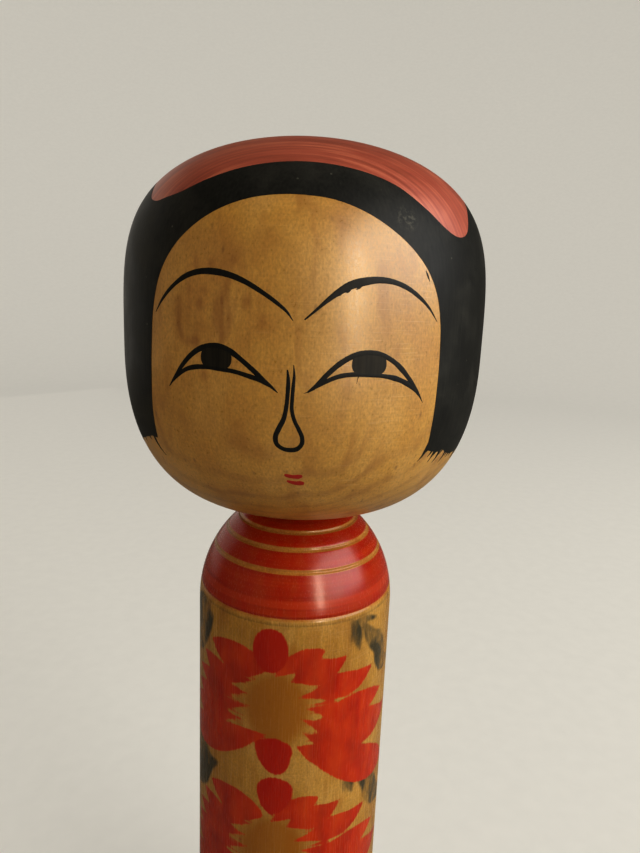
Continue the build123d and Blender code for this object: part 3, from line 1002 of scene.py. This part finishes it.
def dogwood_grain(tree, shift=0.0, pale=0.42):
    """The wood's colour and height, and the patterns that a finish may use again."""
    mm = place_in_mm(tree)
    place = node(tree, "VectorMath", {0: mm, 1: (shift, 0.0, shift * 3)}, operation="ADD")
    rings = growth_rings(tree, place)
    fibres = figure(tree, place, WOOD_SIZES["fibres"], Detail=3.0)
    streaks = figure(tree, place, WOOD_SIZES["streaks"], Detail=2.0)
    silk = figure(tree, place, WOOD_SIZES["silk"], Detail=3.0)
    blotches = figure(tree, place, WOOD_SIZES["blotches"], Detail=4.0, Roughness=0.6)
    mottle = figure(tree, place, WOOD_SIZES["mottle"], Detail=4.0, Distortion=0.4)
    passes = figure(tree, mm, WOOD_SIZES["tool_passes"], Detail=2.0)
    scratch = figure(tree, mm, WOOD_SIZES["scratches"], Detail=2.0)
    scratches = node(tree, "MapRange", {0: scratch, 1: 0.60, 2: 0.72})
    away, rare = scatter(tree, place, WOOD_SIZES["flecks"])
    chosen = node(tree, "Math", {0: rare, 1: 1 - FLECKED_SHARE}, operation="GREATER_THAN")
    flecks = product(tree, node(tree, "MapRange", {0: away, 1: 0.07, 2: 0.20, 3: 1.0, 4: 0.0}), chosen)

    tone = weighted_sum(tree, pale, [(fibres, 0.22), (streaks, 0.14), (silk, 0.74)])
    base = node(tree, "ValToRGB", {0: blotches}, stops=WOOD_TONES)
    shaded = {0: 1.0, 6: base, 7: tone}
    shaded = node(tree, "Mix", shaded, out=2, data_type="RGBA", blend_type="MULTIPLY")
    parts = node(tree, "SeparateXYZ", {0: mm}).node.outputs
    ring_strength = node(tree, "MapRange", {0: mottle, 1: 0.35, 2: 0.65, 3: 0.08, 4: 0.32})
    ring_on_jaw = node(tree, "MapRange", {0: parts["Z"], 1: 220.0, 2: 236.0, 3: 1.5, 4: 0.6})
    # The scratches are painted paler towards +X, where the window's light falls: a painted highlight laid over real
    # scratches.
    scratch_glint_toward_window = node(tree, "MapRange", {0: parts["X"], 1: -12.0, 2: 22.0, 3: 0.06, 4: 0.22})
    colour = coats(tree, shaded, [
        (product(tree, ring_strength, ring_on_jaw, rings), RING_BROWN),
        (node(tree, "MapRange", {0: passes, 1: 0.30, 2: 0.70, 3: 0.0, 4: 0.08}), TOOL_BROWN),
        (node(tree, "MapRange", {0: mottle, 1: 0.54, 2: 0.72, 3: 0.0, 4: 0.5}), MOTTLE_BROWN),
        (product(tree, flecks, 0.5), FLECK_BROWN),
        (product(tree, scratches, scratch_glint_toward_window), SCRATCH_PALE_AND_GLINT),
    ])
    parts = [(passes, 0.8), (flecks, -1.2), (silk, 0.8), (scratches, -1.0)]
    height = weighted_sum(tree, fibres, parts)
    return {
        "colour": colour, "height": height, "mm": mm,
        "fibres": fibres, "streaks": streaks, "silk": silk,
    }


# %% Waxed dogwood for the head
def waxed_dogwood(name, shift=0.0, stained=False):
    """Bare turned dogwood, rubbed with wax on the lathe: amber, with a soft gloss."""
    material, tree = new_material(name)
    wood = dogwood_grain(tree, shift)
    colour = wood["colour"]
    if stained:
        creep = weighted_sum(tree, -1.5, [(wood["streaks"], 3.0)])
        stain = product(tree, mask(tree, "amber_stain", creep, 1.1), 0.6)
        colour = coats(tree, colour, [(stain, STAIN_AMBER)])
    finish_surface(tree, colour, (wood["silk"], 0.27, 0.42), wood["height"], 0.010, wax=0.65)
    return material


head_wood.data.materials.append(waxed_dogwood("waxed turned dogwood", stained=True))
frame["nodes"]["neck_peg"].data.materials.clear()
frame["nodes"]["neck_peg"].data.materials.append(waxed_dogwood("turned hardwood dowel", 40.0))
print("materials so far:", [material.name for material in bpy.data.materials])

# %% [markdown]
# ## Dye in the wood
#
# Dye never covers the wood quite: a little of the grain shows through it.  Its edge creeps along the
# fibres, so the stored distance is nudged by the fibre pattern before the edge is drawn.  On the spinning
# shoulders the dye is laid on in level laps against the lathe, so there its edges are clean.

# %% The dyed body
RED_TONES = [(0.32, "#a81c00"), (0.50, "#ba2a02"), (0.70, "#c63a08")]
DEEP_RED, PALE_RED, BUD_RED = "#8a1000", "#c8481f", "#ad1400"
OCHRE_DYE, LEAF_INK, LINE_INK = "#9e5f0c", "#2c3024", "#4a3a1c"
PALE_LAP = 177.3                # height of a thinner lap of red round the shoulders
SHOULDER_FOOT = (172.6, 173.2)  # heights between which the barrel's way of dyeing gives way


def dyed_body():
    """Waxed dogwood with red dye, thin ochre dye and green-black ink soaked into it."""
    material, tree = new_material("dyed and waxed dogwood")
    wood = dogwood_grain(tree, 15.0, 0.27)
    high = node(tree, "SeparateXYZ", {0: wood["mm"]}, out="Z")
    shoulders = node(tree, "MapRange", {0: high, 1: SHOULDER_FOOT[0], 2: SHOULDER_FOOT[1]})
    creep = weighted_sum(tree, -0.45, [(wood["fibres"], 0.9)])
    creep = node(tree, "Mix", {0: shoulders, 2: creep, 3: 0.0})
    patches = figure(tree, wood["mm"], (5, 5, 9), Detail=4.0)
    laps = figure(tree, wood["mm"], (40, 40, 0.9), Detail=3.0)

    leaf_load = node(tree, "MapRange", {0: patches, 1: 0.38, 2: 0.60, 3: 0.30, 4: 0.92})
    uneven = node(tree, "Mix", {0: shoulders, 2: patches, 3: laps})
    red_tone = node(tree, "ValToRGB", {0: uneven}, stops=RED_TONES)
    red_tone = coats(tree, red_tone, [(product(tree, shoulders, 0.4), DEEP_RED)])
    red_load = node(tree, "MapRange", {0: wood["streaks"], 1: 0.3, 2: 0.7, 3: 0.90, 4: 0.99})
    red = product(tree, mask(tree, "red_dye", creep, 0.25), red_load)
    rubbed = product(tree, shoulders, 0.22)
    red = node(tree, "Math", {0: red, 1: rubbed}, operation="MAXIMUM")
    from_lap = node(tree, "Math", {0: high, 1: PALE_LAP}, operation="SUBTRACT")
    from_lap = node(tree, "Math", {0: from_lap}, operation="ABSOLUTE")
    colour = coats(tree, wood["colour"], [
        (product(tree, mask(tree, "heart_dye", creep, 2.6), 0.8), OCHRE_DYE),
        (product(tree, mask(tree, "leaf_ink", creep, 0.6), leaf_load), LEAF_INK),
        (product(tree, mask(tree, "dark_line", creep, 0.25), 0.42), LINE_INK),
        (red, red_tone),
        (node(tree, "MapRange", {0: from_lap, 1: 0.7, 2: 1.3, 3: 0.42, 4: 0.0}), PALE_RED),
        (product(tree, mask(tree, "bud_dye", creep, 0.3), 0.75), BUD_RED),
    ])
    finish_surface(tree, colour, (wood["fibres"], 0.20, 0.30), wood["height"], 0.006, specular=0.36)
    return material


body_wood.data.materials.append(dyed_body())
print("the body's finish reads", [attribute.name for attribute in body_wood.data.attributes][-5:])

# %% [markdown]
# ## Ink and crown dye
#
# Soot ink dries to a deep, slightly green black with a low sheen.  On the hair it is worn: faint upright
# brush streaks, grey dust in the grain, specks, and one pale scuff.  The crown's dye was laid on in
# strokes from side to side, so it is streaked across, and it is thinner than on the shoulders.

# %% Soot ink
SCUFF = (24.4, -41.5, 279.6)    # a rubbed patch on the hair above the right brow, in mm
SPECK = 2.4                     # mm between the places where a speck of dust may sit
DUST, RUBBED, SCUFFED, SPECK_GREY = "#6b685c", "#8d8571", "#8a8570", "#8a8878"


def soot_ink(name, wear, deep, worn):
    """Matt black ink over wood.  wear is how much dust and rubbing shows between two blacks."""
    material, tree = new_material(name)
    mm = place_in_mm(tree)
    strokes = figure(tree, mm, (0.6, 0.6, 16), Detail=4.0)
    passes = figure(tree, mm, (14, 14, 0.8), Detail=3.0)
    haze = figure(tree, mm, (13, 13, 13), Detail=5.0, Roughness=0.65)
    grit = figure(tree, mm, (1.1, 1.1, 1.1), Detail=6.0, Roughness=0.7)
    from_scuff = node(tree, "VectorMath", {0: mm, 1: SCUFF}, operation="DISTANCE", out="Value")
    from_speck, rare = scatter(tree, mm, (SPECK, SPECK, SPECK))

    rub = node(tree, "MapRange", {0: grit, 1: 0.66, 2: 0.76, 3: 0.0, 4: 0.4 * wear})
    rub_place = node(tree, "MapRange", {0: haze, 1: 0.50, 2: 0.62})
    near_scuff = node(tree, "MapRange", {0: from_scuff, 1: 0.5, 2: 3.4, 3: 0.4 * wear, 4: 0.0})
    scuff = node(tree, "MapRange", {0: grit, 1: 0.48, 2: 0.62})
    pale_speck = node(tree, "MapRange", {0: rare, 1: 0.84, 2: 1.0, 3: 0.0, 4: 0.5 * wear})
    in_speck = node(tree, "MapRange", {0: from_speck, 1: 0.04, 2: 0.14, 3: 1.0, 4: 0.0})
    black = node(tree, "ValToRGB", {0: strokes}, stops=[(0.3, deep), (0.7, worn)])
    colour = coats(tree, black, [
        (node(tree, "MapRange", {0: haze, 1: 0.46, 2: 0.74, 3: 0.0, 4: 0.16 * wear}), DUST),
        (product(tree, rub, rub_place), RUBBED),
        (product(tree, near_scuff, scuff), SCUFFED),
        (product(tree, pale_speck, in_speck), SPECK_GREY),
    ])
    height = weighted_sum(tree, strokes, [(passes, 0.6)])
    finish_surface(tree, colour, (haze, 0.46, 0.58), height, 0.012, specular=0.2)
    return material


hair_finish = soot_ink("soot ink, worn", 1.0, "#151512", "#23231e")
line_finish = soot_ink("soot ink, fine brush", 0.25, "#0e0e0c", "#1a1a16")
iris_finish = soot_ink("soot ink, thin wash", 0.6, "#14120d", "#2c271b")
hair_ink.data.materials.append(hair_finish)
hair_tips.data.materials.append(hair_finish)

# %% Crown dye and lip dye
CROWN_TONES = [(0.34, "#8c2618"), (0.50, "#ac4230"), (0.66, "#cc6c50")]
LIP_DEEP, LIP_PALE = "#a5150b", "#b82a18"


def crown_finish():
    """Red dye in brush streaks from side to side, with the wood's grain under it."""
    material, tree = new_material("red dye, brushed across")
    wood = dogwood_grain(tree)
    brushed = figure(tree, wood["mm"], (26, 0.8, 40), Detail=4.0, Distortion=0.1)
    pools = figure(tree, wood["mm"], (22, 7, 7), Detail=2.0)
    mixed = weighted_sum(tree, product(tree, pools, 0.4), [(brushed, 0.6)])
    red = node(tree, "ValToRGB", {0: mixed}, stops=CROWN_TONES)
    colour = coats(tree, wood["colour"], [(0.9, red)])
    finish_surface(tree, colour, (brushed, 0.40, 0.52), wood["height"], 0.01, wax=0.8)
    return material


def lip_finish():
    """A single stroke of red dye over the wood."""
    material, tree = new_material("red dye, fine brush")
    wood = dogwood_grain(tree)
    colour = coats(tree, linear(LIP_DEEP), [(wood["fibres"], LIP_PALE)])
    finish_surface(tree, colour, (wood["fibres"], 0.4, 0.5), wood["height"], 0.015)
    return material


crown_dye.data.materials.append(crown_finish())
lip_dye = lip_finish()
for name, mark in marks.items():
    mark.data.materials.append(lip_dye if name.startswith("lip") else line_finish)
for iris in irises:
    iris.data.materials.append(iris_finish)
for painted in [hair_ink, hair_tips, crown_dye, *marks.values(), *irises]:
    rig.slot(painted, "head_wood")
    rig.ride(painted, "head")
print("painted pieces that ride the head:", 3 + len(marks) + len(irises))

# %% [markdown]
# ## Floor, light and camera
#
# The doll stands on a plain pale floor that sweeps up all round, so that there is no horizon behind it
# from any side.  A tall window stands to our right: a broad soft light, with a narrow brighter opening
# that draws one upright streak on the gloss.  A lit wall at our left fills the shadows with warm light,
# and a bright wall behind it shows only as a sheen.  A wide light overhead keeps the floor pale.  The
# camera is close and a little above the doll's eyes, and it looks slightly down.

# %% The floor
BACKDROP_GLOW = 0.54            # keeps the backdrop pale to the camera without lighting the doll
FLOOR_COLUMNS = 96


def pale_floor(flat=1.5, sweep=0.7, wall=2.4):
    """A round floor whose edge turns up through a quarter circle into a wall, all in metres."""
    bend = np.linspace(0.0, np.pi / 2, 24)
    radius = np.concatenate([[0.05, 0.4, 0.9], flat + sweep * np.sin(bend), [flat + sweep]])
    height = np.concatenate([[0.0, 0.0, 0.0], sweep * (1 - np.cos(bend)), [wall]])
    turn = np.arange(FLOOR_COLUMNS) * 2 * np.pi / FLOOR_COLUMNS
    grid_r, grid_t = np.meshgrid(radius, turn, indexing="ij")
    grid_z = np.broadcast_to(height[:, None], grid_r.shape)
    ring = np.stack([grid_r * np.cos(grid_t), grid_r * np.sin(grid_t), grid_z], -1).reshape(-1, 3)
    here = np.arange(ring.shape[0]).reshape(len(radius), FLOOR_COLUMNS)
    beside = np.roll(here, -1, axis=1)
    quads = np.stack([here[:-1], here[1:], beside[1:], beside[:-1]], -1).reshape(-1, 4)
    faces = [list(range(FLOOR_COLUMNS))] + quads.tolist()
    obj = make_object("floor", ring / MM, faces, sharp=60.0)
    material, tree = new_material("pale matt paint")
    speckle = node(tree, "TexNoise", {"Scale": 400.0, "Detail": 2.0})
    tone = node(tree, "ValToRGB", {0: speckle}, stops=[(0.3, "#a09d95"), (0.7, "#a4a199")])
    shader = finish_surface(tree, tone, 0.8, speckle, 0.05, specular=0.2)
    seen = node(tree, "LightPath", out="Is Camera Ray")
    tree.links.new(product(tree, seen, BACKDROP_GLOW), shader.inputs["Emission Strength"])
    shader.inputs["Emission Color"].default_value = linear("#f2efe6")
    obj.data.materials.append(material)
    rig.stage(obj)
    return obj


pale_floor()


# %% Lights
def area_light(name, azimuth, elevation, distance, wide, tall, watts, colour, diffuse=True, gloss=True):
    """A rectangular light that faces the doll, placed by its azimuth and elevation seen from it."""
    data = bpy.data.lights.new(name, "AREA")
    data.shape, data.size, data.size_y, data.energy = "RECTANGLE", wide, tall, watts
    data.color = linear(colour)[:3]
    obj = bpy.data.objects.new(name, data)
    bpy.context.scene.collection.objects.link(obj)
    facing = Matrix.Rotation(radians(azimuth), 4, "Z") @ Matrix.Rotation(radians(90 - elevation), 4, "X")
    aim, back_off = Matrix.Translation((0.0, 0.0, 0.22)), Matrix.Translation((0.0, 0.0, distance))
    obj.matrix_world = aim @ facing @ back_off
    obj.visible_camera, obj.visible_diffuse, obj.visible_glossy = False, diffuse, gloss
    return obj


area_light("window", 68.0, 25.0, 1.6, 1.5, 1.3, 35.0, "#ffffff")
area_light("window_opening", 32.0, 14.0, 1.0, 0.045, 0.62, 7.0, "#ffecd4", diffuse=False)
area_light("lit_wall", -56.0, 4.0, 1.5, 1.4, 1.4, 7.8, "#ffebcc", gloss=False)
area_light("bright_wall", -132.0, 6.0, 1.3, 1.3, 1.3, 3.4, "#fffaf0", diffuse=False)
area_light("overhead", 0.0, 90.0, 1.6, 1.8, 1.8, 1.6, "#fff6e6")

world = bpy.data.worlds.new("pale room")
bpy.context.scene.world = world
world.use_nodes = True
world.node_tree.nodes.clear()
background = node(world.node_tree, "Background", {"Color": linear("#b8a78e"), "Strength": 0.26})
node(world.node_tree, "OutputWorld", {"Surface": background})
view = bpy.context.scene.view_settings
view.view_transform = "Standard"
view.gamma = 0.8                # the contrast of an ordinary camera
view.exposure = 0.0

# %% The camera
CAMERA_PLACE = (10.95, -191.6, 263.5)   # mm
PITCH_DOWN, HEADING, ROLL = 12.17, 1.55, 2.36   # degrees
camera_data = bpy.data.cameras.new("camera")
camera_data.lens, camera_data.sensor_width = 27.0, 36.0
camera_data.clip_start, camera_data.clip_end = 0.01, 30.0
camera = bpy.data.objects.new("camera", camera_data)
bpy.context.scene.collection.objects.link(camera)
camera.matrix_world = (
    Matrix.Translation([v * MM for v in CAMERA_PLACE])
    @ Matrix.Rotation(radians(HEADING), 4, "Z")
    @ Matrix.Rotation(radians(90 - PITCH_DOWN), 4, "X")
    @ Matrix.Rotation(radians(ROLL), 4, "Z")
)
bpy.context.scene.camera = camera

# %% Sizes, and the end
def plain(box):
    return [[round(float(v), 5) for v in corner] for corner in box]


with open("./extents.json", "w") as out:
    json.dump({"cad": plain(cad_box), "visual": plain(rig.bounds())}, out)
print(open("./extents.json").read())
